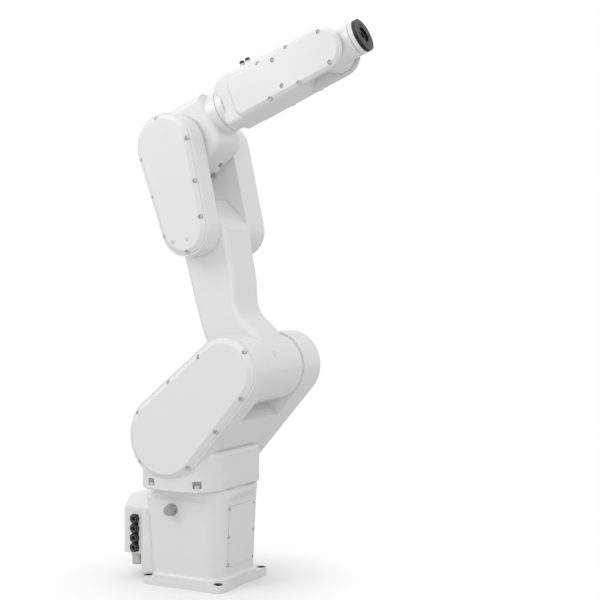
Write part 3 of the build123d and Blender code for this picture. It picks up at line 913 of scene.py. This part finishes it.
# %% [markdown]
# ## Lamps
#
# The arm stands in a white studio. Its main light is a wide softbox to the left in front of it. Another
# hangs above, a weak one stands at the right, and one in front lifts the shadows. Soft lamps fit a white
# object better than hard ones, because its shape shows only in the slow change from light to shade.

# %% Lamps
aim = Vector((0.05, 0, 0.75))


def softbox(name, place, width, watts):
    """A square lamp that points at the middle of the arm."""
    lamp = bpy.data.lights.new(name, "AREA")
    lamp.shape = "RECTANGLE"
    lamp.size = width
    lamp.size_y = width
    lamp.energy = watts
    made = bpy.data.objects.new(name, lamp)
    made.location = place
    made.rotation_euler = (aim - Vector(place)).to_track_quat("-Z", "Y").to_euler()
    bpy.context.scene.collection.objects.link(made)
    return made


lamps = [
    softbox("key", (-1.5, -1.9, 2.3), width=1.6, watts=21),
    softbox("top", (0.1, 0.1, 3.0), width=1.8, watts=8),
    softbox("side", (2.6, 0.2, 1.8), width=1.8, watts=5),
    softbox("fill", (1.5, -2.6, 1.1), width=1.4, watts=11),
]
print("lamps", *(lamp.name for lamp in lamps))

# %% [markdown]
# ## The white room
#
# The room fills in the rest of the light. It lights the arm at less than full white, or the paint would
# burn out, yet the camera and the arm's reflections have to see it as pure white. Light Path tells such
# rays apart, so the world's strength is 1 for them and less for all others.

# %% World
room_light = 0.72
world = bpy.data.worlds.new("room")
bpy.context.scene.world = world
world.use_nodes = True
background = world.node_tree.nodes["Background"]
background.inputs["Color"].default_value = (1, 1, 1, 1)


def world_maths(operation, *values):
    """A Math node in the world's tree, fed by numbers and by other nodes' outputs."""
    made = world.node_tree.nodes.new("ShaderNodeMath")
    made.operation = operation
    for socket, value in zip(made.inputs, values):
        if isinstance(value, bpy.types.NodeSocket):
            world.node_tree.links.new(value, socket)
        else:
            socket.default_value = value
    return made.outputs[0]


rays = world.node_tree.nodes.new("ShaderNodeLightPath").outputs
mirrored = world_maths("MAXIMUM", rays["Is Glossy Ray"], rays["Is Transmission Ray"])
direct = world_maths("MAXIMUM", rays["Is Camera Ray"], mirrored)
strength = world_maths("MULTIPLY_ADD", direct, 1 - room_light, room_light)
world.node_tree.links.new(strength, background.inputs["Strength"])
print("the room lights at", room_light)

# %% [markdown]
# ## The floor
#
# The picture's floor fades into white, with a soft shadow round the foot. So the floor shades as a floor
# near the arm and turns into plain white light further out, and no horizon shows. It throws back less
# light than the camera sees in it, which keeps the arm's underside from glowing.

# %% Floor
floor_radius = 14
floor_segments = 96
glow_range = {"From Min": 0.14, "From Max": 0.40}
floor_seen = (0.95, 0.95, 0.95, 1)
floor_bounce = (0.66, 0.66, 0.66, 1)

floor_mesh = bmesh.new()
bmesh.ops.create_circle(floor_mesh, cap_ends=True, segments=floor_segments, radius=floor_radius)
floor_data = bpy.data.meshes.new("floor")
floor_mesh.to_mesh(floor_data)
floor_mesh.free()
floor = bpy.data.objects.new("floor", floor_data)
bpy.context.scene.collection.objects.link(floor)

ground = Finish("floor_white", roughness=0.9)
distance = ground.node("ShaderNodeVectorMath", {"operation": "LENGTH"}, {0: ground.place()})[1]
far = ground.node("ShaderNodeMapRange", {}, {"Value": distance, **glow_range})[0]
camera_ray = ground.node("ShaderNodeLightPath", {}, {})[0]
ground.feed("Base Color", ground.mix(camera_ray, floor_bounce, floor_seen))
glow = ground.node("ShaderNodeEmission", {}, {"Color": (1, 1, 1, 1), "Strength": 1.0})[0]
surface = Socket(ground, ground.shader.outputs[0])
shown = ground.node("ShaderNodeMixShader", {}, {0: far * camera_ray, 1: surface, 2: glow})[0]
ground.tree.links.new(shown.output, ground.tree.nodes["Material Output"].inputs["Surface"])
floor_data.materials.append(ground.material)
bpy.context.scene.view_settings.view_transform = "Standard"
print("floor ready")
